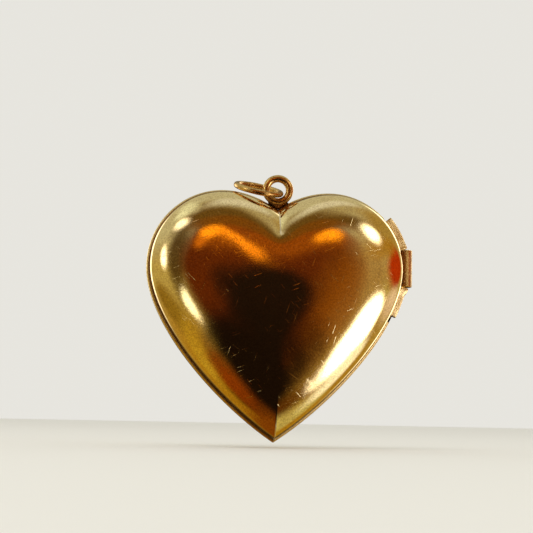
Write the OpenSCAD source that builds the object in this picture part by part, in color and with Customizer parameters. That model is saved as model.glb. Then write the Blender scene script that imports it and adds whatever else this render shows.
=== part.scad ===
// Heart-shaped picture locket, puffed on both sides, hinged on the right and hung from an eye.
// Frame: millimetres, +X right, +Z up, the front faces -Y. The origin is the centre of the
// bail eye, on the seam plane (y = 0) between the two halves. The heart's tip points down.

/* [Heart outline, taken at the rear rim] */
// Half of the widest width
half_width = 15; // [11:0.1:20]
// Height from the tops of the lobes to the tip
heart_height = 29; // [22:0.1:38]
// How far the widest point lies below the tops of the lobes
widest_drop = 9; // [7.5:0.1:12]
// Distance of each lobe's top from the middle line
lobe_x = 6.2; // [5:0.1:8]
// Depth of the cleft below the tops of the lobes
cleft_depth = 2.1; // [1.8:0.1:3]
// Slope of the cleft's sides, in degrees from level
cleft_slope = 35.5; // [30:0.5:42]
// Half angle of the tip, in degrees from the middle line
tip_angle = 57; // [50:0.5:62]

/* [Shells] */
// Thickness of the pressed sheet
sheet = 0.3; // [0.2:0.05:0.4]
// Height of the straight band under each dome, which is also the rear rim's thickness
band = 1.1; // [1.1:0.05:1.6]
// Height of the front dome above its band
front_dome = 4; // [3:0.1:6]
// Height of the rear dome above the rear rim
rear_dome = 3.4; // [2.5:0.1:6]
// Fullness of the domes: higher is flatter on top and steeper at the edge
fullness = 2.3; // [2:0.1:3.2]
// How far the rear rim stands out past the front shell, all round
ledge = 0.4; // [0.3:0.05:0.6]

/* [Rims, lip and picture parts] */
// Width of the rear rim, from its outer edge inwards
rim_width = 1.9; // [1.8:0.1:2.6]
// Height of the snap lip above the seam plane
lip_height = 0.6; // [0.4:0.05:0.6]
// Thickness of the snap lip's wall
lip_wall = 0.26; // [0.2:0.02:0.4]
// Gap between the snap lip and the front shell's wall
lip_gap = 0.06; // [0.04:0.01:0.1]
// Thickness of the two backing plates
plate = 0.2; // [0.15:0.05:0.3]
// Thickness of a picture card
card = 0.15; // [0.1:0.05:0.2]
// Thickness of a clear window
window = 0.18; // [0.12:0.02:0.2]
// Thickness of a picture frame
frame_thickness = 0.45; // [0.35:0.05:0.5]
// Width of a picture frame's face
frame_width = 1.1; // [0.8:0.1:1.8]
// Sideways play of what drops into a picture recess
insert_gap = 0.05; // [0.03:0.01:0.1]

/* [Hinge] */
// Outer diameter of the hinge knuckles
knuckle_d = 2; // [1.6:0.05:2.5]
// How far the knuckles stand out past the rear rim
knuckle_out = 0.83; // [0.7:0.01:0.95]
// How far the hinge's middle lies above the widest point
hinge_up = 0.35; // [0:0.05:0.6]
// Length of the middle knuckle
middle_length = 4.3; // [3.4:0.1:5]
// Length of each outer knuckle with its filed strip
strip_length = 3.4; // [2.6:0.1:4]
// How far the outer knuckles and the upper strip stand out past the rear rim
strip_out = 0.6; // [0.5:0.05:0.65]
// How far the lower strip stands out past the rear rim, where it is filed down further
lower_strip_out = 0.35; // [0.3:0.05:0.65]
// Diameter of the hinge pin
pin_d = 0.4; // [0.3:0.02:0.5]
// Radial play of the middle knuckle on the pin
pin_play = 0.03; // [0.02:0.01:0.06]

/* [Bail eye and jump ring] */
// Outer diameter of the eye
eye_d = 3.6; // [3:0.1:4.4]
// Diameter of the eye's wire
eye_wire = 0.88; // [0.8:0.02:1]
// Outer diameter of the jump ring
ring_d = 5.9; // [5.2:0.1:7]
// Diameter of the jump ring's wire
ring_wire = 0.68; // [0.5:0.02:0.72]
// Rise of the jump ring towards its free end, in degrees from level
ring_rise = 10; // [8:1:20]
// Tilt of the jump ring, front edge down, in degrees
ring_tilt = 17; // [0:1:20]

/* [Hidden] */
$fn = 96;

// Clearances: soldered pieces, pieces that pass each other, knuckle ends, the rear backing
// plate inside its shell, and the eye in the cleft
solder_gap = 0.01;
swing_gap = 0.08;
end_gap = 0.05;
plate_gap = 0.15;
eye_gap = 0.015;

// The eye sits just clear of the cleft's two sides, and the heart hangs below it
eye_mean_r = (eye_d - eye_wire) / 2;
cleft_z = -(eye_d / 2 + eye_gap) / cos(cleft_slope);
lobe_z = cleft_z + cleft_depth;
widest_z = lobe_z - widest_drop;
tip_z = lobe_z - heart_height;

// Half outline as three curves, cleft to lobe top to widest point to tip
cleft_pull = 1.9;
crown_pull = 2.4;
round_pull = 0.552;
side_pull = 6.6;
tip_pull = 8;
crown_curve = [[0, cleft_z],
    [cleft_pull * cos(cleft_slope), cleft_z + cleft_pull * sin(cleft_slope)],
    [lobe_x - crown_pull, lobe_z], [lobe_x, lobe_z]];
lobe_curve = [[lobe_x, lobe_z], [lobe_x + round_pull * (half_width - lobe_x), lobe_z],
    [half_width, widest_z + round_pull * widest_drop], [half_width, widest_z]];
side_curve = [[half_width, widest_z], [half_width, widest_z - side_pull],
    [tip_pull * sin(tip_angle), tip_z + tip_pull * cos(tip_angle)], [0, tip_z]];
curves = [[crown_curve, 8], [lobe_curve, 14], [side_curve, 20]];

function bezier(c, t) = pow(1 - t, 3) * c[0] + 3 * t * pow(1 - t, 2) * c[1]
    + 3 * t * t * (1 - t) * c[2] + pow(t, 3) * c[3];
function bezier_way(c, t) = pow(1 - t, 2) * (c[1] - c[0]) + 2 * t * (1 - t) * (c[2] - c[1])
    + t * t * (c[3] - c[2]);
function unit(v) = v / norm(v);

// Points of the right half, moved inwards by d, each with x above zero
function moved(c, t, d) = let (way = unit(bezier_way(c, t)))
    bezier(c, t) + d * [way[1], -way[0]];
function half_moved(d) = [for (k = [0 : 2]) let (c = curves[k][0], n = curves[k][1])
    for (i = [(k == 0 ? 0 : 1) : n]) moved(c, i / n, d)];

// The two points on the middle line, where the moved sides meet
function cleft_point(d) = [0, cleft_z - d / cos(cleft_slope)];
function tip_point(d) = [0, tip_z + d / sin(tip_angle)];
function right_half(d) = let (h = half_moved(d), last = len(h) - 1)
    [cleft_point(d), for (i = [1 : last - 1]) if (h[i][0] > 0.05) h[i], tip_point(d)];
function outline(d) = let (r = right_half(d), last = len(r) - 1)
    concat(r, [for (i = [last - 1 : -1 : 1]) [-r[i][0], r[i][1]]]);

// Domes: closed curves that shrink from the outline to a centre, and lose the cleft's
// crease and the tip's ridge as they go
dome_drop = 11.2;
dome_z = lobe_z - dome_drop;
dome_rings = 12;
crease_round = 2.6;
crease_reach = 6;
crease_share = [0.3, 0.75];
heart_oval = [11.5, 10.5];
function smooth(a, b, x) = let (t = min(max((x - a) / (b - a), 0), 1)) t * t * (3 - 2 * t);
function lift(p, e) = let (s = sqrt(p[0] * p[0] + e * e) - abs(p[0]))
    s * exp(-pow(p[0] / crease_reach, 2)) * (p[1] > dome_z ? tan(cleft_slope) : 1 / tan(tip_angle));
function dome_point(p, s) = let (
        e = crease_round * (1 - smooth(crease_share[0], crease_share[1], s)),
        q = [p[0], p[1] - dome_z + lift(p, e)],
        r = norm(q), way = q / r,
        oval = 1 / norm([way[0] / heart_oval[0], way[1] / heart_oval[1]]),
        w = smooth(0, 0.75, s))
    way * s * ((1 - w) * oval + w * r) + [0, dome_z];

// One surface of a dome, as rings from the edge at height base to the top at base + rise.
// The first ring is the foot of the band, at height foot.
function surface_points(edge, foot, base, rise) = [
    if (foot != base) for (p = edge) [p[0], foot, p[1]],
    for (k = [0 : dome_rings - 1]) let (a = 90 * (1 - k / dome_rings), s = pow(sin(a), 2 / fullness))
        for (p = edge) let (q = dome_point(p, s)) [q[0], base + rise * cos(a), q[1]],
    [0, base + rise, dome_z]];
function ring_faces(n, from, rings, turn) = [for (k = [0 : rings - 2], i = [0 : n - 1])
    let (a = from + k * n + i, b = from + k * n + (i + 1) % n, f = [a, b, b + n, a + n])
    turn ? [f[3], f[2], f[1], f[0]] : f];
function cap_faces(n, from, top, turn) = [for (i = [0 : n - 1])
    let (a = from + i, b = from + (i + 1) % n) turn ? [top, b, a] : [a, b, top]];

// A pressed half: outer and inner surface joined along the foot. side is -1 towards the front.
module pressed_half(edge_in, foot, base, rise, side) {
    outer = outline(edge_in);
    inner = outline(edge_in + sheet);
    n = len(outer);
    m = len(inner);
    out_points = surface_points(outer, side * foot, side * base, side * rise);
    in_points = surface_points(inner, side * foot, side * base, side * (rise - sheet));
    rings = dome_rings + (foot != base ? 1 : 0);
    in_at = len(out_points);
    flip = side > 0;
    polyhedron(points = concat(out_points, in_points), convexity = 6, faces = concat(
        ring_faces(n, 0, rings, flip), cap_faces(n, (rings - 1) * n, in_at - 1, flip),
        ring_faces(m, in_at, rings, !flip),
        cap_faces(m, in_at + (rings - 1) * m, in_at + len(in_points) - 1, !flip),
        [for (i = [0 : n - 1]) let (j = (i + 1) % n, f = [j, i, in_at + i, in_at + j])
            flip ? [f[3], f[2], f[1], f[0]] : f]));
}

// A flat piece in the heart's plane, from y0 to y1
module slab(y0, y1) {
    translate([0, y1, 0]) rotate([90, 0, 0]) linear_extrude(height = y1 - y0) children();
}
module heart(d) {
    polygon(outline(d));
}
module heart_ring(d_outer, d_inner) {
    difference() {
        heart(d_outer);
        heart(d_inner);
    }
}

/* Hinge layout: the pin runs up and down at the right edge, close to the widest point */
knuckle_r = knuckle_d / 2;
hinge_x = half_width + knuckle_out - knuckle_r;
hinge_z = widest_z + hinge_up;
half_middle = middle_length / 2;
strip_end = half_middle + end_gap + strip_length;
tube_length = 1.1;
tube_end = half_middle + end_gap + tube_length;
pin_half = half_middle + end_gap + tube_length / 2;
notch_gap = 0.45;
strip_gap = 0.12;
strip_front = 0.6;
strip_back = 0.5;
strip_slant = 28;
strip_foot_x = hinge_x - 1.9;
stretch_in = 3;
stretch_out = 5;
leaf_front = 0.3;
leaf_length = 0.33;
leaf_x = hinge_x - knuckle_r - leaf_length;
through = 1;

// A rod along the hinge axis between two heights measured from the hinge's middle
module hinge_rod(r, low, high) {
    translate([hinge_x, 0, hinge_z + low]) cylinder(r = r, h = high - low);
}
// The stretch of edge that the hinge takes up, with ends square to the outline there
module hinge_stretch(reach) {
    x = [strip_foot_x - stretch_in, strip_foot_x + stretch_out];
    h = [for (at = x) reach + (at - strip_foot_x) * tan(strip_slant)];
    translate([0, hinge_z]) polygon([[x[0], -h[0]], [x[1], -h[1]], [x[1], h[1]], [x[0], h[0]]]);
}
module knuckle_way() {
    hinge_rod(knuckle_r + swing_gap, -tube_end - end_gap, tube_end + end_gap);
}

/* Rear half */
module rear_shell() {
    color("goldenrod") difference() {
        pressed_half(0, band, band, rear_dome, 1);
        knuckle_way();
    }
}
module rear_rim() {
    color("gold") difference() {
        slab(0, band) heart_ring(0, rim_width);
        slab(-through, strip_back + strip_gap) intersection() {
            heart_ring(-through, ledge + strip_gap);
            hinge_stretch(strip_end + notch_gap);
        }
        knuckle_way();
        slab(-through, band + through) translate([leaf_x, hinge_z - half_middle - end_gap])
            square([half_width, middle_length + 2 * end_gap]);
    }
}
module snap_lip() {
    lip_in = ledge + sheet + lip_gap;
    color("khaki") slab(-lip_height, 0) difference() {
        heart_ring(lip_in, lip_in + lip_wall);
        hinge_stretch(strip_end + notch_gap);
    }
}
module rear_backing_plate() {
    color("darkkhaki") difference() {
        slab(band, band + plate) heart(sheet + plate_gap);
        knuckle_way();
    }
}
module rear_picture() {
    color("oldlace") slab(band - card, band) heart(rim_width + insert_gap);
}
module rear_window() {
    color("lightcyan", 0.5) slab(band - card - window, band - card)
        heart(rim_width + insert_gap);
}
module rear_picture_frame() {
    y1 = band - card - window;
    color("gold") slab(y1 - frame_thickness, y1)
        heart_ring(rim_width + insert_gap, rim_width + insert_gap + frame_width);
}
module hinge_middle_knuckle() {
    color("peru") difference() {
        union() {
            hinge_rod(knuckle_r, -half_middle, half_middle);
            translate([leaf_x, leaf_front, hinge_z - half_middle])
                cube([hinge_x - leaf_x, band - leaf_front, middle_length]);
        }
        hinge_rod(pin_d / 2 + pin_play, -strip_end, strip_end);
    }
}
module eye_torus(extra) {
    rotate([90, 0, 0]) rotate_extrude()
        translate([eye_mean_r, 0]) circle(r = eye_wire / 2 + extra, $fn = 48);
}
module bail_eye() {
    color("chocolate") eye_torus(0);
}
foot_half = 1.3;
foot_front = 0.3;
foot_back = band - 0.2;
foot_top = 0.2 - eye_mean_r;
module bail_foot() {
    color("saddlebrown") difference() {
        slab(-foot_front, foot_back) difference() {
            translate([-foot_half, cleft_z]) square([2 * foot_half, foot_top - cleft_z]);
            heart(-solder_gap);
        }
        eye_torus(solder_gap);
    }
}

/* Front half: its rim is a flange under the snap lip with a wall behind it, and the parts of
   the picture lie in that wall */
lip_clear = 0.1;
flange_width = 0.34;
wall_width = 0.3;
front_recess = lip_height + lip_clear;
front_stack = front_recess + frame_thickness + window + card;
front_flange_in = ledge + sheet + solder_gap;
front_wall_in = front_flange_in + flange_width;
front_opening_in = front_wall_in + wall_width;
front_insert = front_opening_in + insert_gap;
module front_shell() {
    color("goldenrod") difference() {
        pressed_half(ledge, 0, band, front_dome, -1);
        knuckle_way();
    }
}
module front_rim() {
    color("gold") difference() {
        union() {
            slab(-band, -front_recess) heart_ring(front_flange_in, front_opening_in);
            slab(-front_stack, -band) heart_ring(front_wall_in, front_opening_in);
        }
        knuckle_way();
    }
}
module front_backing_plate() {
    color("darkkhaki") slab(-front_stack - plate, -front_stack) heart(front_wall_in);
}
module front_picture() {
    color("oldlace") slab(-front_stack, card - front_stack) heart(front_insert);
}
module front_window() {
    color("lightcyan", 0.5) slab(card - front_stack, card + window - front_stack)
        heart(front_insert);
}
module front_picture_frame() {
    color("gold") slab(-front_recess - frame_thickness, -front_recess)
        heart_ring(front_insert, front_insert + frame_width);
}
// An outer knuckle, filed to the outline, with the strip that carries it. up is 1 or -1.
module outer_knuckle(up) {
    low = half_middle + end_gap;
    out = up > 0 ? strip_out : lower_strip_out;
    color("peru") difference() {
        union() {
            slab(-strip_front, strip_back) intersection() {
                heart_ring(-out, ledge - solder_gap);
                hinge_stretch(strip_end);
                translate([0, hinge_z + (up > 0 ? low : -low - half_width)])
                    square(half_width * [2, 1]);
            }
            intersection() {
                hinge_rod(knuckle_r, up > 0 ? low : -tube_end, up > 0 ? tube_end : -low);
                slab(-knuckle_r, knuckle_r) heart(-strip_out);
            }
        }
        hinge_rod(pin_d / 2 + solder_gap, -pin_half - solder_gap, pin_half + solder_gap);
    }
}
module hinge_upper_knuckle() {
    outer_knuckle(1);
}
module hinge_lower_knuckle() {
    outer_knuckle(-1);
}
module hinge_pin() {
    color("sienna") hinge_rod(pin_d / 2, -pin_half, pin_half);
}

/* Jump ring: it hangs in the eye and lies over on the left lobe */
ring_mean_r = (ring_d - ring_wire) / 2;
ring_lean = 0.32;
ring_drop = 0.4;
ring_seat = [ring_lean, 0, -ring_drop];
ring_centre = ring_seat + ring_mean_r * [-cos(ring_rise), 0, sin(ring_rise)];
module jump_ring() {
    color("chocolate") translate(ring_centre) rotate([0, ring_rise, 0]) rotate([ring_tilt, 0, 0])
        rotate_extrude() translate([ring_mean_r, 0]) circle(r = ring_wire / 2, $fn = 48);
}

rear_shell();
rear_rim();
snap_lip();
rear_backing_plate();
rear_picture();
rear_window();
rear_picture_frame();
hinge_middle_knuckle();
bail_eye();
bail_foot();
front_shell();
front_rim();
front_backing_plate();
front_picture();
front_window();
front_picture_frame();
hinge_upper_knuckle();
hinge_lower_knuckle();
hinge_pin();
jump_ring();
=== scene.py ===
"""Heart locket: the visible pieces, their finishes, the light and the camera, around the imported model."""
import math

import bmesh
import bpy
import numpy as np
from mathutils import Matrix, Vector, noise


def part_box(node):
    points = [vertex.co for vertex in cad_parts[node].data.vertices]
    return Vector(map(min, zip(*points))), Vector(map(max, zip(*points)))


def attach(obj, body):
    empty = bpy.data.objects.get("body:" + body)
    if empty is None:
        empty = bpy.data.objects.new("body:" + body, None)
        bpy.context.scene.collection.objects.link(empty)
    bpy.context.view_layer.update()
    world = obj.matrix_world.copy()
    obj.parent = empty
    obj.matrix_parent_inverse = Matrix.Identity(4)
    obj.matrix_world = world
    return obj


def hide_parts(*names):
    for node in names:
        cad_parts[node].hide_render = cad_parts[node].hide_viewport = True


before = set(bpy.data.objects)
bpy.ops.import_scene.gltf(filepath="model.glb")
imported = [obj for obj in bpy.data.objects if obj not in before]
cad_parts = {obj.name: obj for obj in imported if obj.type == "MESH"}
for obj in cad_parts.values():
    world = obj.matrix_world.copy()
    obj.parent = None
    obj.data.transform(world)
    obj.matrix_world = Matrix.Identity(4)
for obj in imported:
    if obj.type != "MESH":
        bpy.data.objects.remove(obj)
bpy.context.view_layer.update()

# ---------------------------------------------------------------- driving dimensions, in mm
MM = 0.001


def low_high(node):
    """A CAD node's lowest and highest corner, in mm."""
    low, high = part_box(node)
    return Vector(low) / MM, Vector(high) / MM


rim_low, rim_high = low_high("rear_rim")
front_low, _ = low_high("front_shell")
_, rear_high = low_high("rear_shell")
lip_low, _ = low_high("snap_lip")
pin_low, pin_high = low_high("hinge_pin")
middle_low, middle_high = low_high("hinge_middle_knuckle")
upper_low, _ = low_high("hinge_upper_knuckle")
_, eye_high = low_high("bail_eye")

half_width = -rim_low.x
tip_z = rim_low.z
lobe_z = rim_high.z
ledge = half_width + front_low.x
band = rim_high.y
front_dome = -front_low.y - band
rear_dome = rear_high.y - band
hinge_x = (pin_low.x + pin_high.x) / 2
hinge_z = (pin_low.z + pin_high.z) / 2
pin_r = (pin_high.x - pin_low.x) / 2
pin_half = (pin_high.z - pin_low.z) / 2
knuckle_r = middle_high.x - hinge_x
half_middle = (middle_high.z - middle_low.z) / 2
strip_low = upper_low.z - hinge_z
lip_height = -lip_low.y
eye_r = eye_high.z
eye_wire_r = eye_high.y

# The CAD source's own values. The sheet that both shells are pressed from:
sheet = 0.3
# The outline
lobe_x = 6.2
widest_drop, cleft_depth = 9.0, 2.1
widest_z = lobe_z - widest_drop
cleft_z = lobe_z - cleft_depth
cleft_slope = math.radians(35.5)
tip_angle = math.radians(57)
cleft_pull, crown_pull, round_pull, side_pull, tip_pull = 1.9, 2.4, 0.552, 6.6, 8.0
# The domes
fullness = 2.3
crease_round, crease_reach, crease_share = 2.6, 6.0, (0.3, 0.75)
heart_oval = (11.5, 10.5)
dome_drop = 11.2
dome_z = lobe_z - dome_drop
# The rims, the lip and what lies inside them
rim_width = 1.9
lip_gap, lip_wall = 0.06, 0.26
insert_gap, frame_width, frame_thickness = 0.05, 1.1, 0.45
card, window = 0.15, 0.18
plate, plate_gap = 0.2, 0.15
lip_room = 0.1
front_recess = lip_height + lip_room
front_stack = front_recess + frame_thickness + window + card
solder_gap = 0.01
front_flange, front_wall = 0.34, 0.3
front_flange_in = ledge + sheet + solder_gap
front_wall_in = front_flange_in + front_flange
front_opening_in = front_wall_in + front_wall
# The hinge
strip_out, lower_strip_out = 0.6, 0.35
strip_length, tube_length = 3.4, 1.1
strip_slant = math.radians(28)
strip_foot_x = hinge_x - 1.9
strip_front, strip_back, strip_gap = 0.6, 0.5, 0.12
notch_gap, swing_gap, end_gap = 0.45, 0.08, 0.05
strip_end = strip_low + strip_length
tube_end = strip_low + tube_length
leaf_front, leaf_reach = 0.3, 0.33
leaf_x = hinge_x - knuckle_r - leaf_reach
outer_bore_fit = 0.01
barrel_bore_r = 0.23
# The jump ring
ring_wire_r = 0.34
ring_mean_r = 2.61
ring_rise, ring_tilt = math.radians(10), math.radians(17)
ring_seat = Vector((0.32, 0, -0.4))

# ---------------------------------------------------------------- the heart's outline
AROUND = 190
CURVE_STEPS = 160
EVEN_SHARE, END_SHARE = 0.55, 0.45


def bezier(c, t):
    """Points of a cubic curve with the four control points c."""
    return ((1 - t) ** 3)[:, None] * c[0] + (3 * t * (1 - t) ** 2)[:, None] * c[1] \
        + (3 * t * t * (1 - t))[:, None] * c[2] + (t ** 3)[:, None] * c[3]


def bezier_way(c, t):
    """The curve's direction at the same places."""
    return ((1 - t) ** 2)[:, None] * (c[1] - c[0]) + (2 * t * (1 - t))[:, None] * (c[2] - c[1]) \
        + (t * t)[:, None] * (c[3] - c[2])


OUTLINE_CURVES = [np.array(c, float) for c in (
    ((0, cleft_z),
     (cleft_pull * math.cos(cleft_slope), cleft_z + cleft_pull * math.sin(cleft_slope)),
     (lobe_x - crown_pull, lobe_z), (lobe_x, lobe_z)),
    ((lobe_x, lobe_z), (lobe_x + round_pull * (half_width - lobe_x), lobe_z),
     (half_width, widest_z + round_pull * (lobe_z - widest_z)), (half_width, widest_z)),
    ((half_width, widest_z), (half_width, widest_z - side_pull),
     (tip_pull * math.sin(tip_angle), tip_z + tip_pull * math.cos(tip_angle)), (0, tip_z)))]


def right_side(inset, count=AROUND):
    """Points from the cleft round the right lobe to the tip, moved inwards by inset and evenly
    spread, but closer together at the cleft and the tip."""
    t = np.linspace(0, 1, CURVE_STEPS)
    pieces = []
    for curve in OUTLINE_CURVES:
        way = bezier_way(curve, t)
        way /= np.linalg.norm(way, axis=1)[:, None]
        pieces.append(bezier(curve, t) + inset * np.stack([way[:, 1], -way[:, 0]], 1))
    points = np.concatenate(pieces)
    points = points[points[:, 0] > 1e-3]
    start = [0, cleft_z - inset / math.cos(cleft_slope)]
    end = [0, tip_z + inset / math.sin(tip_angle)]
    points = np.concatenate([[start], points, [end]])
    run = np.concatenate([[0], np.cumsum(np.linalg.norm(np.diff(points, axis=0), axis=1))])
    u = np.linspace(0, 1, count + 1)
    share = EVEN_SHARE * u + END_SHARE * (1 - np.cos(math.pi * u)) / 2
    return np.stack([np.interp(share * run[-1], run, points[:, k]) for k in (0, 1)], 1)


def outline(inset, count=AROUND):
    """The closed outline, from the cleft clockwise as seen from the front."""
    right = right_side(inset, count)
    return np.concatenate([right, right[-2:0:-1] * [-1, 1]])


def row(points, y):
    """Outline points as 3-D points at height y."""
    return np.stack([points[:, 0], np.full(len(points), y), points[:, 1]], 1)


# ---------------------------------------------------------------- mesh helpers
def new_object(name, vertices, faces, smooth_angle=35):
    """A mesh object from points in mm, smooth shaded, with edges over the angle kept sharp."""
    mesh = bpy.data.meshes.new(name)
    mesh.from_pydata([tuple(v) for v in np.asarray(vertices) * MM], [], faces)
    made = bmesh.new()
    made.from_mesh(mesh)
    bmesh.ops.remove_doubles(made, verts=made.verts, dist=1e-8)
    bmesh.ops.recalc_face_normals(made, faces=made.faces)
    made.to_mesh(mesh)
    made.free()
    obj = bpy.data.objects.new(name, mesh)
    bpy.context.scene.collection.objects.link(obj)
    shade(obj, smooth_angle)
    return obj


def shade(obj, angle):
    """Smooth shading, with edges over the angle kept sharp."""
    obj.data.shade_smooth()
    obj.data.set_sharp_from_angle(angle=math.radians(angle))


def loft(rows, joined=False, start=None, end=None):
    """Vertices and faces of a skin over closed rows of equal length. joined closes the last row
    to the first, and start and end are single points that close the ends."""
    n = len(rows[0])
    vertices = np.concatenate(rows)
    faces = []
    pairs = len(rows) if joined else len(rows) - 1
    for k in range(pairs):
        a, b = k * n, ((k + 1) % len(rows)) * n
        faces += [(a + i, a + (i + 1) % n, b + (i + 1) % n, b + i) for i in range(n)]
    for point, base in ((start, 0), (end, (len(rows) - 1) * n)):
        if point is not None:
            vertices = np.concatenate([vertices, [point]])
            top = len(vertices) - 1
            faces += [(base + i, base + (i + 1) % n, top) for i in range(n)]
    return vertices, faces


def rounded_section(d0, d1, y0, y1, radii, steps=5):
    """A closed rounded rectangle as (inset, height) pairs. radii are those of the corners
    (d0, y0), (d1, y0), (d1, y1) and (d0, y1)."""
    corners = [(d0, y0, 1, 1, 180), (d1, y0, -1, 1, 270), (d1, y1, -1, -1, 0), (d0, y1, 1, -1, 90)]
    points = []
    for (d, y, in_d, in_y, turn), r in zip(corners, radii):
        for k in range(steps + 1):
            a = math.radians(turn + 90 * k / steps)
            points.append((d + in_d * r + r * math.cos(a), y + in_y * r + r * math.sin(a)))
    return points


def swept_ring(name, section, count=AROUND):
    """A ring that carries a closed (inset, height) section round the heart."""
    rows = [row(outline(d, count), y) for d, y in section]
    return new_object(name, *loft(rows, joined=True))


def prism(name, points, y0, y1):
    """A plain closed prism over (x, z) points, used as a cutter."""
    n = len(points)
    low = row(np.array(points, float), y0)
    high = row(np.array(points, float), y1)
    faces = [(i, (i + 1) % n, n + (i + 1) % n, n + i) for i in range(n)]
    return new_object(name, np.concatenate([low, high]),
                      faces + [tuple(range(n)), tuple(range(2 * n - 1, n - 1, -1))])


def rod(name, radius, low, high, sides=96):
    """A closed round bar on the hinge's axis with softened ends, between two heights from the
    hinge's middle."""
    soft = 0.06
    turn = np.linspace(0, 2 * math.pi, sides, endpoint=False)
    ring = np.stack([radius * np.cos(turn), radius * np.sin(turn)], 1)
    rows = [np.stack([hinge_x + ring[:, 0] * share, ring[:, 1] * share,
                      np.full(sides, hinge_z + z)], 1)
            for z, share in ((low, 1 - soft / radius), (low + soft, 1), (high - soft, 1),
                             (high, 1 - soft / radius))]
    return new_object(name, *loft(rows, start=(hinge_x, 0, hinge_z + low),
                                  end=(hinge_x, 0, hinge_z + high)))


def boolean(obj, cutters, operation="DIFFERENCE", angle=35):
    """Cuts away or joins on the cutters, which are used up."""
    for cutter in cutters:
        step = obj.modifiers.new("cut", "BOOLEAN")
        step.operation, step.object, step.solver = operation, cutter, "EXACT"
    graph = bpy.context.evaluated_depsgraph_get()
    mesh = bpy.data.meshes.new_from_object(obj.evaluated_get(graph))
    obj.modifiers.clear()
    obj.data = mesh
    for cutter in cutters:
        bpy.data.objects.remove(cutter)
    shade(obj, angle)
    return obj


def place(obj, body, slot, material, *nodes):
    """Gives a piece its body and its finish, and hides the CAD nodes that it stands for. slot is not used.
    """
    obj.data.materials.clear()
    obj.data.materials.append(material)
    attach(obj, body)
    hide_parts(*nodes)
    return obj


# ---------------------------------------------------------------- shader helpers
def add(tree, kind, settings=None, **inputs):
    """Adds a node. settings are its own properties, and inputs are values or sockets."""
    made = tree.nodes.new(kind)
    for key, value in (settings or {}).items():
        setattr(made, key, value)
    for key, value in inputs.items():
        socket = made.inputs[int(key[1:])] if key[0] == "i" and key[1:].isdigit() \
            else made.inputs[key.replace("_", " ")]
        if isinstance(value, bpy.types.NodeSocket):
            tree.links.new(value, socket)
        else:
            socket.default_value = value
    return made


def math_node(tree, operation, a, b=0.0, clamp=False):
    """One step of arithmetic on two values."""
    return add(tree, "ShaderNodeMath", {"operation": operation, "use_clamp": clamp},
               i0=a, i1=b).outputs[0]


def blend(tree, factor, a, b, kind="MIX"):
    """Colour a with colour b laid over it by factor."""
    made = add(tree, "ShaderNodeMix", {"data_type": "RGBA", "blend_type": kind,
                                       "clamp_factor": True})
    for index, value in ((0, factor), (6, a), (7, b)):
        if isinstance(value, bpy.types.NodeSocket):
            tree.links.new(value, made.inputs[index])
        else:
            made.inputs[index].default_value = value
    return made.outputs[2]


def ramp(tree, value, low, high, to_low=0.0, to_high=1.0):
    """A value that goes softly from to_low to to_high as value goes from low to high."""
    return add(tree, "ShaderNodeMapRange", {"interpolation_type": "SMOOTHSTEP"}, i0=value, i1=low,
               i2=high, i3=to_low, i4=to_high).outputs[0]


def new_group(name, inputs, outputs):
    """An empty shader node group. inputs are (name, type, default), outputs (name, type)."""
    tree = bpy.data.node_groups.new(name, "ShaderNodeTree")
    for title, kind, value in inputs:
        made = tree.interface.new_socket(title, in_out="INPUT", socket_type=kind)
        if value is not None:
            made.default_value = value
    for title, kind in outputs:
        tree.interface.new_socket(title, in_out="OUTPUT", socket_type=kind)
    return tree, tree.nodes.new("NodeGroupInput"), tree.nodes.new("NodeGroupOutput")


def use(tree, group, **inputs):
    """Places one of the shared groups."""
    return add(tree, "ShaderNodeGroup", {"node_tree": bpy.data.node_groups[group]}, **inputs)


def millimetres(tree):
    """The piece's own coordinates, in mm."""
    where = add(tree, "ShaderNodeTexCoord").outputs["Object"]
    return add(tree, "ShaderNodeVectorMath", {"operation": "SCALE"}, Vector=where,
               Scale=1 / MM).outputs[0]


def new_material(name):
    """A material, its node tree and its shader."""
    made = bpy.data.materials.new(name)
    made.use_nodes = True
    return made, made.node_tree, made.node_tree.nodes["Principled BSDF"]


# ---------------------------------------------------------------- shared effects
FLOAT, COLOUR, VECTOR = "NodeSocketFloat", "NodeSocketColor", "NodeSocketVector"
# Painted shade: the black laid into the hinge's gaps.
PAINTED_GAP_SHADE = (0.035, 0.02, 0.01, 1)
# Painted highlight: the pale, near white colour laid along the front shell's crease and ridge.
PAINTED_FOLD_HIGHLIGHT = (1.0, 0.93, 0.74, 1)
# Each layer's turn in radians, its scratches' length and spacing across in mm, and their width
# as a share of that spacing
SCRATCH_LAYERS = ((0.35, 4.5, 0.15, 0.13), (1.25, 6.0, 0.18, 0.12), (-0.55, 8.0, 0.24, 0.10),
                  (2.3, 3.5, 0.13, 0.14), (0.05, 22.0, 0.90, 0.03), (-1.1, 15.0, 0.60, 0.045))


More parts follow.
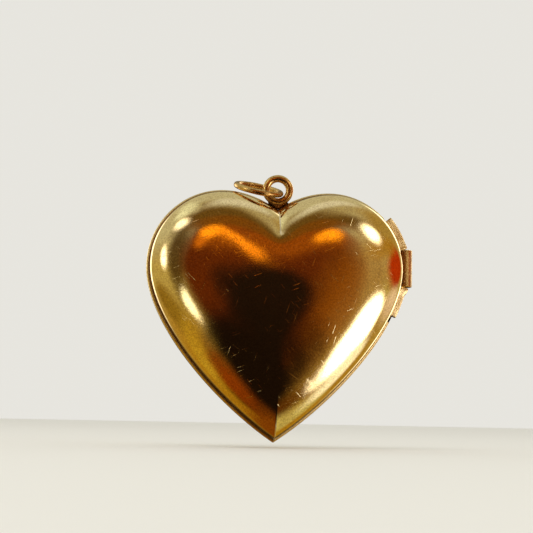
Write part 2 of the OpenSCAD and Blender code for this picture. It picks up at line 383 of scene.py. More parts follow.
def hair_scratches():
    """Thin straight scratches in several directions and lengths, as a mask, on coordinates in
    mm. Density goes from 0 to 1."""
    tree, given, out = new_group("hair_scratches",
                                 [("Vector", VECTOR, None), ("Density", FLOAT, 0.7)],
                                 [("Mask", FLOAT)])
    total = None
    keep = math_node(tree, "SUBTRACT", 1.0, given.outputs["Density"])
    for turn, length, across, width in SCRATCH_LAYERS:
        placed = add(tree, "ShaderNodeMapping", Vector=given.outputs["Vector"],
                     Location=(length, 3 * length, across), Rotation=(0, turn, 0))
        squeezed = add(tree, "ShaderNodeVectorMath", {"operation": "MULTIPLY"},
                       i0=placed.outputs[0], i1=(1 / length, 0.05, 1 / across)).outputs[0]
        cells = add(tree, "ShaderNodeTexVoronoi", Vector=squeezed, Scale=1.0, Randomness=0.85)
        needle = ramp(tree, cells.outputs["Distance"], 0.3 * width, width + 0.02, 1.0, 0.0)
        chance = add(tree, "ShaderNodeSeparateColor", Color=cells.outputs["Color"]).outputs[0]
        depth = math_node(tree, "MULTIPLY", math_node(tree, "SUBTRACT", chance, keep), 2.0, True)
        needle = math_node(tree, "MULTIPLY", needle, depth)
        total = needle if total is None else math_node(tree, "MAXIMUM", total, needle)
    tree.links.new(total, out.inputs["Mask"])
    return tree


def hinge_gap_shade():
    """Painted shade: black laid into the gap round the middle knuckle and into the notches past the
    strips, where shade falls, as a mask, on coordinates in mm."""
    tree, given, out = new_group("hinge_gap_shade", [("Vector", VECTOR, None)], [("Mask", FLOAT)])
    at = add(tree, "ShaderNodeSeparateXYZ", Vector=given.outputs["Vector"]).outputs
    right = math_node(tree, "SUBTRACT", at[0], hinge_x)
    off = math_node(tree, "ABSOLUTE", math_node(tree, "SUBTRACT", at[2], hinge_z))
    from_pin = math_node(tree, "SQRT", math_node(
        tree, "ADD", math_node(tree, "MULTIPLY", right, right),
        math_node(tree, "MULTIPLY", at[1], at[1])))
    reach, fade = knuckle_r + 0.34, 0.28
    end, end_fade = half_middle + 0.1, 0.2
    gap = math_node(tree, "MULTIPLY", ramp(tree, from_pin, reach, reach + fade, 1.0, 0.0),
                    ramp(tree, off, end, end + end_fade, 1.0, 0.0))
    slant = math_node(tree, "MULTIPLY", math_node(tree, "SUBTRACT", at[0], strip_foot_x),
                      math.tan(strip_slant))
    past = math_node(tree, "ABSOLUTE", math_node(
        tree, "SUBTRACT", math_node(tree, "SUBTRACT", off, slant), strip_end + notch_gap / 2))
    notch_fade, start, thick = 0.14, strip_foot_x - 0.7, (0.6, 0.8)
    notch = math_node(tree, "MULTIPLY", ramp(tree, past, notch_gap / 2,
                                             notch_gap / 2 + notch_fade, 1.0, 0.0),
                      ramp(tree, at[0], start, start + 0.2))
    notch = math_node(tree, "MULTIPLY", notch,
                      ramp(tree, math_node(tree, "ABSOLUTE", at[1]), *thick, 1.0, 0.0))
    tree.links.new(math_node(tree, "MAXIMUM", gap, notch), out.inputs["Mask"])
    return tree


def worn_metal():
    """Colour, roughness and height of worn, polished plate: fine grain, hair scratches, brown
    patches, a painted highlight along the shell's crease and ridge, darker brown along the seam, and
    painted shade in the gaps at the hinge."""
    tree, given, out = new_group(
        "worn_metal",
        [("Colour", COLOUR, (0.8, 0.6, 0.3, 1)), ("Brown", COLOUR, (0.3, 0.15, 0.05, 1)),
         ("Tarnish", FLOAT, 0.3), ("Gloss", FLOAT, 0.18), ("Grain", FLOAT, 1.0),
         ("Scratches", FLOAT, 1.0), ("Seam Dirt", FLOAT, 1.0), ("Fold Wear", FLOAT, 0.0)],
        [("Colour", COLOUR), ("Roughness", FLOAT), ("Height", FLOAT)])
    mm = millimetres(tree)
    patches = add(tree, "ShaderNodeTexNoise", Vector=mm, Scale=0.22, Detail=4.0,
                  Roughness=0.6).outputs["Fac"]
    specks = add(tree, "ShaderNodeTexNoise", Vector=mm, Scale=2.4, Detail=3.0,
                 Roughness=0.7).outputs["Fac"]
    grain = add(tree, "ShaderNodeTexNoise", Vector=mm, Scale=6.5, Detail=3.0,
                Roughness=0.75).outputs["Fac"]
    fine = add(tree, "ShaderNodeTexNoise", Vector=mm, Scale=5.5, Detail=2.0,
               Roughness=0.8, Distortion=0.6).outputs["Fac"]
    hairs = use(tree, "hair_scratches", Vector=mm, Density=0.85).outputs[0]
    scratch = math_node(tree, "MULTIPLY", hairs, given.outputs["Scratches"])
    at = add(tree, "ShaderNodeSeparateXYZ", Vector=mm).outputs
    off_seam = math_node(tree, "ABSOLUTE", at[1])
    off_fold = math_node(tree, "ABSOLUTE", at[0])
    # Painted highlight: a near white line along the crease at the cleft and the ridge at the tip, with
    # rougher metal there.
    crease_end, ridge_end, fold_fade = cleft_z - 2.4, tip_z + 1.8, 1.6
    near_fold = math_node(tree, "ADD", ramp(tree, at[2], crease_end - fold_fade, crease_end),
                          ramp(tree, at[2], ridge_end, ridge_end + fold_fade, 1.0, 0.0))
    fold = math_node(tree, "MULTIPLY", ramp(tree, off_fold, 0.02, 0.11, 1.0, 0.0), near_fold)
    fold = math_node(tree, "MULTIPLY", fold, given.outputs["Fold Wear"])
    # Darker brown along the seam plane.
    dirt = math_node(tree, "MULTIPLY", ramp(tree, off_seam, 0.03, 0.14, 1.0, 0.0),
                     given.outputs["Seam Dirt"])
    stain = math_node(tree, "MULTIPLY", ramp(tree, patches, 0.45, 0.75),
                      given.outputs["Tarnish"])
    stain = math_node(tree, "ADD", stain, math_node(
        tree, "MULTIPLY", ramp(tree, specks, 0.58, 0.75), math_node(
            tree, "MULTIPLY", given.outputs["Tarnish"], 0.5)))
    stain = math_node(tree, "MAXIMUM", stain, dirt, True)
    tone = blend(tree, stain, given.outputs["Colour"], given.outputs["Brown"])
    shade_of = ramp(tree, fine, 0.34, 0.66, 0.76, 1.12)
    tone = blend(tree, 1.0, tone, add(tree, "ShaderNodeCombineColor", Red=shade_of, Green=shade_of,
                                      Blue=shade_of).outputs[0], "MULTIPLY")
    tone = blend(tree, fold, tone, PAINTED_FOLD_HIGHLIGHT)
    # Painted shade: black laid into the hinge's gaps, scaled by the seam darkening.
    gap_shade = use(tree, "hinge_gap_shade", Vector=mm).outputs[0]
    gap_shade = math_node(tree, "MULTIPLY", gap_shade, math_node(
        tree, "MULTIPLY", given.outputs["Seam Dirt"], 2.0), True)
    tree.links.new(blend(tree, gap_shade, tone, PAINTED_GAP_SHADE), out.inputs["Colour"])
    rough = math_node(tree, "MULTIPLY_ADD", grain, 0.16)
    rough.node.inputs[2].default_value = -0.08
    rough = math_node(tree, "MULTIPLY", rough, given.outputs["Grain"])
    rough = math_node(tree, "ADD", rough, given.outputs["Gloss"])
    rough = math_node(tree, "ADD", rough, math_node(tree, "MULTIPLY", scratch, 0.16))
    rough = math_node(tree, "ADD", rough, math_node(tree, "MULTIPLY", stain, 0.14))
    rough = math_node(tree, "ADD", rough, math_node(tree, "MULTIPLY", fold, 0.4), True)
    tree.links.new(rough, out.inputs["Roughness"])
    height = math_node(tree, "MULTIPLY", grain, math_node(
        tree, "MULTIPLY", given.outputs["Grain"], 0.35))
    height = math_node(tree, "SUBTRACT", height, math_node(tree, "MULTIPLY", scratch, 0.22))
    tree.links.new(height, out.inputs["Height"])
    return tree


def metal(name, colour, brown, tarnish, gloss, grain, scratches, dirt=0.0, bump=0.01, wear=0.0):
    """A worn plated metal. gloss is the roughness of its clean parts, dirt how dark its seam is
    and how black the shade painted into its hinge gaps is, bump the depth of its grain and scratches in mm,
    and wear how strongly a highlight is painted along its crease and ridge."""
    made, tree, skin = new_material(name)
    worn = use(tree, "worn_metal", Colour=(*colour, 1), Brown=(*brown, 1), Tarnish=tarnish,
               Gloss=gloss, Grain=grain, Scratches=scratches, Seam_Dirt=dirt, Fold_Wear=wear)
    relief = add(tree, "ShaderNodeBump", Strength=1.0, Distance=bump * MM,
                 Height=worn.outputs["Height"])
    skin.inputs["Metallic"].default_value = 1.0
    tree.links.new(worn.outputs["Colour"], skin.inputs["Base Color"])
    tree.links.new(worn.outputs["Roughness"], skin.inputs["Roughness"])
    tree.links.new(relief.outputs["Normal"], skin.inputs["Normal"])
    return made


def picture_card():
    """Cream paper card with faint fibres."""
    made, tree, skin = new_material("cream_card")
    where = add(tree, "ShaderNodeTexCoord").outputs["Object"]
    cloud = add(tree, "ShaderNodeTexNoise", Vector=where, Scale=160.0, Detail=5.0).outputs["Fac"]
    fibre = add(tree, "ShaderNodeTexNoise", Vector=where, Scale=2600.0, Detail=3.0).outputs["Fac"]
    tree.links.new(blend(tree, ramp(tree, cloud, 0.35, 0.7), (0.78, 0.71, 0.57, 1),
                         (0.66, 0.56, 0.40, 1)), skin.inputs["Base Color"])
    relief = add(tree, "ShaderNodeBump", Strength=0.5, Distance=0.01 * MM, Height=fibre)
    tree.links.new(relief.outputs["Normal"], skin.inputs["Normal"])
    tree.links.new(ramp(tree, fibre, 0.2, 0.8, 0.75, 0.95), skin.inputs["Roughness"])
    return made


def clear_window():
    """Clear acetate sheet with a few fine marks."""
    made, tree, skin = new_material("clear_acetate")
    skin.inputs["Base Color"].default_value = (0.96, 0.97, 0.95, 1)
    skin.inputs["Transmission Weight"].default_value = 0.0
    skin.inputs["IOR"].default_value = 1.48
    skin.inputs["Alpha"].default_value = 0.16
    mm = millimetres(tree)
    marks = use(tree, "hair_scratches", Vector=mm, Density=0.5).outputs[0]
    tree.links.new(ramp(tree, marks, 0.0, 1.0, 0.05, 0.45), skin.inputs["Roughness"])
    return made


hair_scratches()
hinge_gap_shade()
worn_metal()
polished_gold = metal("polished_gold", (0.97, 0.75, 0.39), (0.42, 0.21, 0.07), tarnish=0.3,
                      gloss=0.06, grain=0.7, scratches=1.0, dirt=0.5, bump=0.013, wear=1.0)
gold_rim = metal("gold_rim", (0.92, 0.70, 0.34), (0.30, 0.15, 0.05), tarnish=0.4, gloss=0.27,
                 grain=1.0, scratches=0.8, dirt=0.7)
brass_plate = metal("brass_plate", (0.74, 0.56, 0.28), (0.36, 0.20, 0.08), tarnish=0.6,
                    gloss=0.34, grain=1.3, scratches=0.9)
hinge_brass = metal("hinge_brass", (0.86, 0.62, 0.25), (0.36, 0.19, 0.05), tarnish=0.9,
                    gloss=0.29, grain=1.3, scratches=1.2, bump=0.03)
strip_gold = metal("strip_gold", (0.90, 0.68, 0.36), (0.45, 0.24, 0.08), tarnish=0.7,
                   gloss=0.26, grain=1.2, scratches=1.2, bump=0.02)
coppery_wire = metal("coppery_wire", (0.74, 0.47, 0.17), (0.28, 0.13, 0.03), tarnish=0.9,
                     gloss=0.24, grain=1.4, scratches=0.8, bump=0.016)
dark_solder = metal("dark_solder", (0.42, 0.24, 0.08), (0.14, 0.07, 0.02), tarnish=0.9,
                    gloss=0.42, grain=1.6, scratches=0.4, bump=0.04)
cream_card = picture_card()
clear_acetate = clear_window()


# ---------------------------------------------------------------- shells
OUTER_ROWS, INNER_ROWS, FOOT_STEPS = 64, 26, 8
DENT_DEPTH = 0.03


def smooth(a, b, x):
    """0 up to a, 1 from b on, and a soft step between."""
    t = np.clip((x - a) / (b - a), 0, 1)
    return t * t * (3 - 2 * t)


def dome_ring(edge, s):
    """The closed outline edge, shrunk to share s. The cleft's crease and the tip's ridge soften
    as it shrinks, and it ends as an oval."""
    softness = crease_round * (1 - smooth(*crease_share, s))
    x = edge[:, 0]
    above = edge[:, 1] > dome_z
    lift = (np.sqrt(x * x + softness ** 2) - np.abs(x)) * np.exp(-(x / crease_reach) ** 2) \
        * np.where(above, math.tan(cleft_slope), 1 / math.tan(tip_angle))
    arm = np.stack([x, edge[:, 1] - dome_z + lift], 1)
    reach = np.linalg.norm(arm, axis=1)
    way = arm / reach[:, None]
    oval = 1 / np.hypot(way[:, 0] / heart_oval[0], way[:, 1] / heart_oval[1])
    share = smooth(0, 0.75, s)
    return way * (s * ((1 - share) * oval + share * reach))[:, None] + [0, dome_z]


def dents(rows, side, amount):
    """Moves points along Y by a slow, shallow unevenness, none at the edge."""
    for k, points in enumerate(rows):
        for p in points:
            at = Vector((p[0], 40 * side, p[2]))
            p[1] += amount * side * (noise.noise(at * 0.16) + 0.45 * noise.noise(at * 0.42))
    return rows


def dome_rows(inset, base, rise, side, count, uneven=0.0):
    """Rows of one dome surface from the edge inwards, and its top point."""
    edge = outline(inset)
    rows = []
    for k in range(count):
        a = math.pi / 2 * (1 - k / count)
        s = math.sin(a) ** (2 / fullness)
        rows.append(row(dome_ring(edge, s), side * (base + rise * math.cos(a))))
    top = np.array([[0, side * (base + rise), dome_z]])
    for k, points in enumerate(rows):
        fade = smooth(0, 0.2, k / count)
        dents([points], side, uneven * fade)
    dents([top], side, uneven)
    return rows, tuple(top[0])


def pressed_half(name, inset, foot, base, rise, side):
    """A pressed shell: outer skin, rounded foot and inner skin."""
    outer, top = dome_rows(inset, base, rise, side, OUTER_ROWS, DENT_DEPTH)
    inner, under = dome_rows(inset + sheet, base, rise - sheet, side, INNER_ROWS)
    lip_r = 0.07
    wall = np.linspace(base, foot + lip_r, 6)[1:] if base > foot else []
    rows = outer[::-1] + [row(outline(inset), side * y) for y in wall]
    middle = inset + sheet / 2
    for k in range(1, FOOT_STEPS):
        a = math.pi * k / FOOT_STEPS
        d = middle - (sheet / 2) * np.sign(math.cos(a)) * abs(math.cos(a)) ** 0.5
        rows.append(row(outline(d), side * (foot + lip_r * (1 - abs(math.sin(a)) ** 0.5))))
    rows += [row(outline(inset + sheet), side * y) for y in wall[::-1]] + inner
    return new_object(name, *loft(rows, start=top, end=under), smooth_angle=50)


def knuckle_way():
    """The room that the knuckles turn in."""
    return rod("way", knuckle_r + swing_gap, -tube_end - end_gap, tube_end + end_gap)


def hinge_stretch(reach, y0, y1):
    """A prism over the stretch of edge that the hinge takes up, ends square to the outline."""
    xs = (strip_foot_x - 3, strip_foot_x + 5)
    hs = [reach + (x - strip_foot_x) * math.tan(strip_slant) for x in xs]
    points = [(xs[0], hinge_z - hs[0]), (xs[1], hinge_z - hs[1]),
              (xs[1], hinge_z + hs[1]), (xs[0], hinge_z + hs[0])]
    return prism("hinge_stretch", points, y0, y1)


def make_shells():
    front = pressed_half("front_shell_skin", ledge, 0.02, band, front_dome, -1)
    boolean(front, [knuckle_way()], angle=50)
    place(front, "front_half", "polished_gold", polished_gold, "front_shell")
    rear = pressed_half("rear_shell_skin", 0, band, band, rear_dome, 1)
    place(rear, "rear_half", "polished_gold", polished_gold, "rear_shell")


# ---------------------------------------------------------------- rims, lip and picture parts
def make_rims():
    rim = swept_ring("rear_rim_ring", rounded_section(0, rim_width, 0, band,
                                                      (0.36, 0.06, 0.04, 0.02), 8))
    beyond, through, over, leaf_through = 0.9, 2, 1, 3
    # A count other than the rim's own, so that no two rows of points fall on each other
    ledge_cut = swept_ring("ledge_cut", rounded_section(-beyond, ledge + strip_gap, -beyond,
                                                        strip_back + strip_gap, (0, 0, 0.05, 0)),
                           AROUND + 7)
    boolean(ledge_cut, [hinge_stretch(strip_end + notch_gap, -through, through)], "INTERSECT")
    low, high = hinge_z - half_middle - end_gap, hinge_z + half_middle + end_gap
    leaf_cut = prism("leaf_cut", [(leaf_x, low), (leaf_x + leaf_through, low),
                                  (leaf_x + leaf_through, high), (leaf_x, high)],
                     -over, band + over)
    boolean(rim, [ledge_cut, knuckle_way(), leaf_cut])
    place(rim, "rear_half", "gold_rim", gold_rim, "rear_rim")

    lip_in = ledge + sheet + lip_gap
    lip = swept_ring("snap_lip_ring", rounded_section(lip_in, lip_in + lip_wall, -lip_height, 0,
                                                      (0.12, 0.08, 0.01, 0.01)))
    boolean(lip, [hinge_stretch(strip_end + notch_gap, -through, through)])
    place(lip, "rear_half", "gold_rim", gold_rim, "snap_lip")

    r = 0.05
    d0, d1, d2 = front_flange_in, front_wall_in, front_opening_in
    y0, y1, y2 = -front_recess, -band, -front_stack
    section = [(d0, y0 - r), (d0 + 0.3 * r, y0 - 0.3 * r), (d0 + r, y0), (d2 - r, y0),
               (d2 - 0.3 * r, y0 - 0.3 * r), (d2, y0 - r), (d2, y2 + r), (d2 - r, y2),
               (d1 + r, y2), (d1, y2 + r), (d1, y1), (d0, y1)]
    rim = swept_ring("front_rim_ring", section)
    boolean(rim, [knuckle_way()])
    place(rim, "front_half", "gold_rim", gold_rim, "front_rim")


def picture_frame(name, inset, seen, back):
    """A pressed bezel, frame_width wide and frame_thickness deep: a step at its outer edge, a
    hollow face and a rolled inner bead. seen is the height of the face that shows, and back the
    height of the other one."""
    way = 1 if seen > back else -1
    profile = [(0.0, 0.0), (0.0, 0.30), (0.02, 0.335), (0.06, 0.35), (0.20, 0.35), (0.26, 0.36),
               (0.30, 0.40), (0.36, 0.43), (0.44, 0.43), (0.52, 0.39), (0.60, 0.35), (0.68, 0.34),
               (0.76, 0.36), (0.83, 0.41), (0.90, 0.44), (0.97, 0.445), (1.04, 0.42),
               (1.085, 0.36), (1.1, 0.28), (1.1, 0.0)]
    drawn_width, drawn_depth = 1.1, 0.45
    section = [(inset + d * frame_width / drawn_width,
                back + way * h * frame_thickness / drawn_depth) for d, h in profile]
    return swept_ring(name, section)


def flat_heart(name, inset, y0, y1, edge):
    """A thin heart-shaped sheet with softened edges."""
    rows = [row(outline(inset + edge), y0), row(outline(inset), y0 + edge),
            row(outline(inset), y1 - edge), row(outline(inset + edge), y1)]
    return new_object(name, *loft(rows, start=(0, y0, dome_z), end=(0, y1, dome_z)))


def make_picture_parts():
    air = 0.012
    front_insert = front_opening_in + insert_gap
    rear_insert = rim_width + insert_gap
    for side, inset, seat, way, plate_in in (
            ("rear", rear_insert, band, -1, sheet + plate_gap),
            ("front", front_insert, -front_stack, 1, front_wall_in)):
        body = side + "_half"
        levels = [seat, seat + way * card, seat + way * (card + window),
                  seat + way * (card + window + frame_thickness)]
        low, high = sorted((seat, seat - way * plate))
        place(flat_heart(side + "_plate", plate_in, low, high, 0.03), body, "brass_plate",
              brass_plate, side + "_backing_plate")
        low, high = sorted(levels[:2])
        place(flat_heart(side + "_card", inset, low, high, 0.02), body, "picture_card",
              cream_card, side + "_picture")
        low, high = sorted(levels[1:3])
        place(flat_heart(side + "_acetate", inset, low + air, high - air, 0.02), body, "clear_window",
              clear_acetate, side + "_window")
        place(picture_frame(side + "_bezel", inset, levels[3], levels[2]), body, "gold_rim",
              gold_rim, side + "_picture_frame")


# ---------------------------------------------------------------- hinge
def edge_at(heights):
    """Outline points at heights from the hinge's middle, and the outward way at each."""
    side = right_side(0, 600)
    side = side[np.argmax(side[:, 1]):][::-1]
    z = hinge_z + np.asarray(heights)
    x = np.interp(z, side[:, 1], side[:, 0])
    slope = (np.interp(z + 0.05, side[:, 1], side[:, 0])
             - np.interp(z - 0.05, side[:, 1], side[:, 0])) / 0.1
    out = np.stack([np.ones_like(slope), -slope], 1)
    return np.stack([x, z], 1), out / np.linalg.norm(out, axis=1)[:, None]


def meets(way, section):
    """How far a closed section, given as (inset, height) points around the origin, reaches each
    way from it."""
    angles = np.arctan2(section[:, 1], section[:, 0])
    order = np.argsort(angles)
    return np.interp(way, angles[order], np.linalg.norm(section[order], axis=1),
                     period=2 * math.pi)


def outer_knuckle_form(name, up):
    """An outer knuckle: a tube where it meets the middle one, filed down outside and drawn out
    into a half round strip along the edge."""
    ways = np.linspace(-math.pi, math.pi, 72, endpoint=False)
    turn = np.linspace(0, 2 * math.pi, 200, endpoint=False)
    slope, corner, drop, joint = 0.26, 0.2, 0.3, 0.012
    out_by = strip_out if up > 0 else lower_strip_out
    face = slope * (out_by + corner) - strip_front
    strip = np.array([(ledge - joint, strip_back), (ledge - joint, -strip_front),
                      (corner - out_by, face)] + [
        (corner - out_by - corner * math.sin(a), face + drop - drop * math.cos(a))
        for a in np.linspace(0.3, math.pi / 2, 7)] + [
        (-out_by, strip_back - 0.25), (-out_by + 0.1, strip_back - 0.06),
        (-out_by + 0.28, strip_back)])
    strip = np.concatenate([strip, strip[:1]])
    dense = np.linspace(0, 1, 12, endpoint=False)[:, None]
    strip = np.concatenate([a + (b - a) * dense for a, b in zip(strip[:-1], strip[1:])])
    soft, stations = 0.06, 30
    runs = [(0, soft), (0.3 * soft, 0.3 * soft), (soft, 0)]
    spread = list(np.linspace(strip_low + 0.2, strip_end - 0.2, stations))
    heights = [strip_low + a for a, _ in runs] + spread + [strip_end - a for a, _ in runs[::-1]]
    shrinks = [b for _, b in runs] + [0] * stations + [b for _, b in runs[::-1]]
    points, out = edge_at([up * h for h in heights])
    rows = []
    for point, way, shrink, height in zip(points, out, shrinks, heights):
        centre = (point[0] - hinge_x) / way[0]
        tube = np.stack([centre - knuckle_r * np.cos(turn), knuckle_r * np.sin(turn)], 1)
        tube[:, 0] = np.maximum(tube[:, 0], 0.02 - strip_out)
        tube[:, 1] = np.maximum(tube[:, 1], slope * (ledge - tube[:, 0]) - strip_front - 0.1)
        share = smooth(tube_end - 0.85, tube_end - 0.03, height)
        reach = (1 - share) * meets(ways, tube) + share * meets(ways, strip) - shrink
        inset, y = reach * np.cos(ways), reach * np.sin(ways)
        xz = point - inset[:, None] * way
        rows.append(np.stack([xz[:, 0], y, xz[:, 1]], 1))
    centres = [tuple(rows[k].mean(axis=0)) for k in (0, -1)]
    return new_object(name, *loft(rows, start=centres[0], end=centres[1]))


def make_outer_knuckle(side, up):
    knuckle = outer_knuckle_form(side + "_outer_knuckle", up)
    bore_half = pin_half + outer_bore_fit
    boolean(knuckle, [rod("bore", pin_r + outer_bore_fit, -bore_half, bore_half)], angle=40)
    place(knuckle, "front_half", "hinge_brass", strip_gold, "hinge_%s_knuckle" % side)


def make_hinge():
    barrel = rod("middle_barrel", knuckle_r, -half_middle, half_middle)
    leaf = [(leaf_x, -half_middle), (hinge_x, -half_middle), (hinge_x, half_middle),
            (leaf_x, half_middle)]
    boolean(barrel, [prism("leaf", [(x, hinge_z + z) for x, z in leaf], leaf_front, band)],
            "UNION", 40)
    boolean(barrel, [rod("bore", barrel_bore_r, -strip_end, strip_end)], angle=40)
    place(barrel, "rear_half", "hinge_brass", hinge_brass, "hinge_middle_knuckle")
    make_outer_knuckle("upper", 1)
    make_outer_knuckle("lower", -1)
    place(rod("pin_wire", pin_r, -pin_half, pin_half, sides=48), "front_half", "hinge_brass",
          hinge_brass, "hinge_pin")


# ---------------------------------------------------------------- bail eye, its foot and the ring
def bent_wire(name, mean_r, wire_r, turn, centre, gap=0.0, flat=0.0, seed=0.0):
    """A ring of round wire, a little uneven. gap is the angle left open at its joint, and turn
    the matrix that lays the ring, made about the Z axis, in its place."""
    around, sides, filed_end = 180, 40, 0.86
    section = np.linspace(0, 2 * math.pi, sides, endpoint=False)
    rows = []
    for k in range(around + (1 if gap else 0)):
        a = gap / 2 + (2 * math.pi - gap) * k / around
        way = Vector((math.cos(a), math.sin(a), 0))
        uneven = noise.noise(way * 2.0 + Vector((seed, 0, 0)))
        r = wire_r * (1 - 0.02 + 0.02 * uneven)
        middle = way * (mean_r + 0.01 * uneven)
        points = []
        for b in section:
            squash = 1 - flat * max(0, math.cos(b)) ** 4
            p = middle + way * (r * squash * math.cos(b)) + Vector((0, 0, r * math.sin(b)))
            points.append(centre + turn @ p)
        rows.append(np.array([tuple(p) for p in points]))
    if not gap:
        return new_object(name, *loft(rows, joined=True))
    ends = []
    for ring in (rows[0], rows[-1]):
        middle = ring.mean(axis=0)
        ends.append((tuple(middle), middle + (ring - middle) * filed_end))
    rows = [ends[0][1]] + rows + [ends[1][1]]
    return new_object(name, *loft(rows, start=ends[0][0], end=ends[1][0]))


def make_bail():
    stand = Matrix.Rotation(math.radians(90), 3, "X")
    eye = bent_wire("eye_wire_loop", eye_r - eye_wire_r, eye_wire_r, stand, Vector(), seed=3.0)
    place(eye, "rear_half", "coppery_wire", coppery_wire, "bail_eye")
    lay = Matrix.Rotation(ring_rise, 3, "Y") @ Matrix.Rotation(ring_tilt, 3, "X") \
        @ Matrix.Rotation(math.radians(118), 3, "Z")
    centre = ring_seat + ring_mean_r * Vector((-math.cos(ring_rise), 0, math.sin(ring_rise)))
    ring = bent_wire("open_jump_ring", ring_mean_r, ring_wire_r, lay, centre, gap=0.02, seed=8.0)
    place(ring, "jump_ring", "coppery_wire", coppery_wire, "jump_ring")


def make_solder_foot():
    """Solder that fills the cleft up to the eye, sunk between the two and lumpy."""
    foot_half, front, back = 1.3, -0.3, band - 0.2
    mean_r = eye_r - eye_wire_r
    side = right_side(-0.012, 400)
    side = side[:np.argmax(side[:, 0] > foot_half)]
    top = side[-1]
    crown = []
    for k in range(1, 16):
        share = 1 - 2 * k / 16
        crown.append((top[0] * share, top[1] + (0.2 - mean_r - top[1]) * (1 - share ** 4)))
    section = np.concatenate([side[::6], [top], crown, (side[::6] * [-1, 1])[:0:-1]])
    heart_middle = np.array([0, -mean_r - 0.3])
    rows = []
    steps = 14
    for k in range(steps + 1):
        y = front + (back - front) * k / steps
        swell = math.sin(math.pi * min(1, max(0, 0.08 + 0.84 * k / steps))) ** 0.35
        points = heart_middle + (section - heart_middle) * (0.7 + 0.3 * swell)
        rows.append(row(points, y))
    for ring in rows:
        for p in ring:
            p += 0.02 * np.array(noise.noise_vector(Vector(p * 1.7)))
            p[1] = min(max(p[1], front), back)
    ends = [tuple(rows[k].mean(axis=0)) for k in (0, -1)]
    foot = new_object("solder_foot", *loft(rows, start=ends[0], end=ends[1]), smooth_angle=60)
    stand = Matrix.Rotation(math.radians(90), 3, "X")
    keep = bent_wire("eye_room", mean_r, eye_wire_r + 0.01, stand, Vector())
    boolean(foot, [keep], angle=50)
    place(foot, "rear_half", "dark_solder", dark_solder, "bail_foot")


make_shells()
make_rims()
make_picture_parts()
make_hinge()
make_bail()
make_solder_foot()

# ---------------------------------------------------------------- floor, light and camera
lens_mm, sensor_mm = 100.0, 36.0
distance = 171 * MM
camera_left, camera_below, roll = math.radians(5), math.radians(6), math.radians(1.1)
aim_point = Vector((-1.16, 0.0, -8.94)) * MM


def make_camera():
    data = bpy.data.cameras.new("camera")
    data.lens, data.sensor_width = lens_mm, sensor_mm
    data.clip_start, data.clip_end = 0.005, 20
    camera = bpy.data.objects.new("camera", data)
    bpy.context.scene.collection.objects.link(camera)
    back = Vector((-math.sin(camera_left) * math.cos(camera_below),
                   -math.cos(camera_left) * math.cos(camera_below), -math.sin(camera_below)))
    aim = (-back).to_track_quat("-Z", "Y").to_matrix().to_4x4()
    camera.matrix_world = Matrix.Translation(aim_point + back * distance) @ aim \
        @ Matrix.Rotation(roll, 4, "Z")
    bpy.context.scene.camera = camera


def make_floor():
    data = bpy.data.meshes.new("floor")
    size, z = 3, (tip_z - 0.6) * MM
    data.from_pydata([(-size, -size, z), (size, -size, z), (size, size, z), (-size, size, z)], [],
                     [(0, 1, 2, 3)])
    floor = bpy.data.objects.new("floor", data)
    bpy.context.scene.collection.objects.link(floor)
    made, _, skin = new_material("pale_floor")
    skin.inputs["Base Color"].default_value = (0.86, 0.85, 0.80, 1)
    skin.inputs["Roughness"].default_value = 0.9
    skin.inputs["Specular IOR Level"].default_value = 0.1
    data.materials.append(made)
    floor.visible_glossy = False


def patch_of_light(tree, way, under, at, wide, high, turn, edge, colour, opacity=1.0):
    """Lays a soft oval of colour over the surroundings. at is its direction in degrees: to the
    right of straight ahead of the front face, and up. wide and high are its half angles."""
    across, up = math.radians(at[0]), math.radians(at[1])
    ahead = Vector((math.sin(across) * math.cos(up), -math.cos(across) * math.cos(up),
                    math.sin(up)))
    right = Vector((math.cos(across), math.sin(across), 0))
    above = right.cross(ahead) * -1
    if above.z < 0:
        above = -above
    turned = math.radians(turn)
    right, above = (right * math.cos(turned) + above * math.sin(turned),
                    above * math.cos(turned) - right * math.sin(turned))

    def along(axis):
        return add(tree, "ShaderNodeVectorMath", {"operation": "DOT_PRODUCT"}, i0=way,
                   i1=tuple(axis)).outputs["Value"]
    facing = along(ahead)
    depth = math_node(tree, "MAXIMUM", facing, 0.02)
    a = math_node(tree, "DIVIDE", along(right / math.tan(math.radians(wide))), depth)
    b = math_node(tree, "DIVIDE", along(above / math.tan(math.radians(high))), depth)
    reach = math_node(tree, "SQRT", math_node(tree, "ADD", math_node(tree, "MULTIPLY", a, a),
                                              math_node(tree, "MULTIPLY", b, b)))
    mask = ramp(tree, reach, 1 - edge, 1 + edge, opacity, 0.0)
    mask = math_node(tree, "MULTIPLY", mask, math_node(tree, "GREATER_THAN", facing, 0.03))
    return blend(tree, mask, under, (*colour, 1))


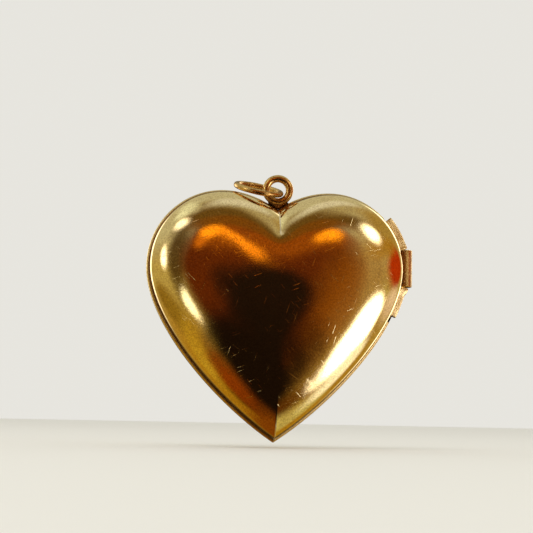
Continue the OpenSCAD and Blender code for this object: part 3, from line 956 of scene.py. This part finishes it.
def make_world():
    """A pale studio. The metal sees a room in it: warm walls, a dark middle, a window and
    lamps. Everything else is lit evenly."""
    world = bpy.data.worlds.new("studio")
    bpy.context.scene.world = world
    world.use_nodes = True
    tree = world.node_tree
    sky = tree.nodes["Background"]
    way = add(tree, "ShaderNodeTexCoord").outputs["Generated"]
    up = add(tree, "ShaderNodeSeparateXYZ", Vector=way).outputs[2]
    room = blend(tree, ramp(tree, up, -0.7, -0.1), (0.42, 0.23, 0.012, 1), (0.50, 0.40, 0.13, 1))
    room = blend(tree, ramp(tree, up, 0.0, 0.6), room, (0.56, 0.55, 0.40, 1))
    room = blend(tree, ramp(tree, up, 0.7, 0.98), room, (0.54, 0.54, 0.43, 1))
    for at, wide, high, turn, edge, colour, opacity in (
            # the ceiling: shade in the middle, light to the right and far left
            ((-20, 62), 30, 13, 0, 0.6, (0.30, 0.24, 0.11), 0.9),
            ((0, 47), 44, 12, 0, 0.5, (0.14, 0.078, 0.015), 1),
            ((56, 58), 20, 10, 0, 0.6, (0.40, 0.33, 0.17), 0.8),
            ((32, 76), 24, 9, 0, 0.6, (0.70, 0.72, 0.70), 1),
            ((-84, 60), 22, 7, 0, 0.6, (0.78, 0.84, 0.70), 1),
            ((-68, 50), 10, 6, 0, 0.6, (0.95, 1.05, 0.90), 1),
            # walls: brown gold on the left and the right of the room's unlit middle
            ((88, 34), 32, 22, 0, 0.5, (0.40, 0.27, 0.06), 0.95),
            ((-40, 12), 11, 24, 0, 0.5, (0.085, 0.048, 0.011), 0.95),
            ((-74, -20), 28, 10, -8, 0.5, (0.27, 0.165, 0.014), 0.9),
            ((40, 4), 18, 26, 0, 0.6, (0.40, 0.25, 0.09), 0.8),
            ((-2, 8), 31, 33, 0, 0.25, (0.115, 0.022, 0.0022), 1),
            ((26, -4), 9, 20, 0, 0.6, (0.27, 0.085, 0.006), 0.8),
            ((0, 37), 27, 7, 0, 0.5, (0.19, 0.07, 0.006), 1),
            ((0, -46), 40, 24, 0, 0.4, (0.085, 0.02, 0.002), 1),
            # amber lamps and their glow
            ((0, 24), 24, 8, 0, 0.4, (0.29, 0.07, 0.003), 1),
            ((-16, 27), 5, 4.2, 0, 0.6, (1.6, 0.54, 0.016), 1),
            ((-20, 20), 3.5, 3.5, 0, 0.8, (0.7, 0.19, 0.008), 1),
            ((-4, 21), 2.4, 9, 38, 0.6, (1.5, 0.48, 0.016), 1),
            ((18, 25), 4.5, 3.8, 0, 0.6, (1.6, 0.56, 0.016), 1),
            # the darkest part, and its wide foot
            ((1, 1), 15, 10.5, 0, 0.3, (0.013, 0.006, 0.003), 1),
            ((-1, -26), 29, 22, 0, 0.25, (0.010, 0.005, 0.0025), 1),
            ((-30, -50), 26, 8, 14, 0.5, (0.018, 0.006, 0.002), 1),
            # the ground: gold, orange and red bands on the left, pale gold on the right
            ((-88, -62), 40, 8, 0, 0.4, (0.21, 0.058, 0.003), 1),
            ((-68, -36), 26, 5.5, 26, 0.6, (0.52, 0.34, 0.03), 1),
            ((-48, -40), 15, 5.5, 36, 0.6, (0.25, 0.05, 0.002), 1),
            ((66, -49), 26, 9, 0, 0.5, (0.57, 0.51, 0.18), 1),
            # a red curtain on the right
            ((85, 8), 25, 14, 0, 0.3, (0.45, 0.038, 0.0015), 1),
            ((62, 22), 24, 6, 10, 0.7, (0.42, 0.22, 0.014), 0.8),
            # window and lamps
            ((92, -13), 24, 7, 0, 0.5, (0.85, 0.70, 0.58), 1),
            ((54, -20), 15.5, 12.5, -34, 0.22, (4.6, 4.5, 4.3), 1),
            ((74, -34), 14, 8, -12, 0.5, (1.3, 1.3, 1.2), 1),
            ((50, 31), 7, 7, 50, 0.5, (3.6, 3.5, 3.2), 1),
            ((-61, 12), 6, 9, 30, 0.5, (3.2, 3.1, 2.8), 1),
            ((-49, 38), 7.5, 5, 0, 0.6, (2.4, 2.3, 2.1), 1),
            ((-35, -12), 4.5, 4.5, 0, 0.4, (2.0, 2.0, 1.7), 1),
            # behind: a dark doorway between two tall windows
            ((180, -8), 34, 42, 0, 0.5, (0.06, 0.035, 0.012), 1),
            ((134, 10), 9, 34, 0, 0.4, (3.0, 2.9, 2.7), 1),
            ((-138, 8), 13, 24, 0, 0.4, (2.4, 2.3, 2.1), 1)):
        room = patch_of_light(tree, way, room, at, wide, high, turn, edge, colour, opacity)
    ray = add(tree, "ShaderNodeLightPath")
    even = (0.80, 0.785, 0.735, 1)
    tree.links.new(blend(tree, ray.outputs["Is Glossy Ray"], even, room), sky.inputs["Color"])


def make_key_light():
    """A broad lamp above that only the matt surfaces see, for soft shadows on the floor."""
    data = bpy.data.lights.new("key", "AREA")
    data.shape, data.size, data.size_y = "RECTANGLE", 0.3, 0.3
    data.energy, data.color = 0.5, (1, 0.98, 0.95)
    light = bpy.data.objects.new("key", data)
    light.location = (-0.15, -0.25, 0.4)
    light.rotation_euler = (-light.location).to_track_quat("-Z", "Y").to_euler()
    light.visible_glossy = False
    bpy.context.scene.collection.objects.link(light)


make_camera()
make_floor()
make_world()
make_key_light()
bpy.context.scene.view_settings.view_transform = "Standard"
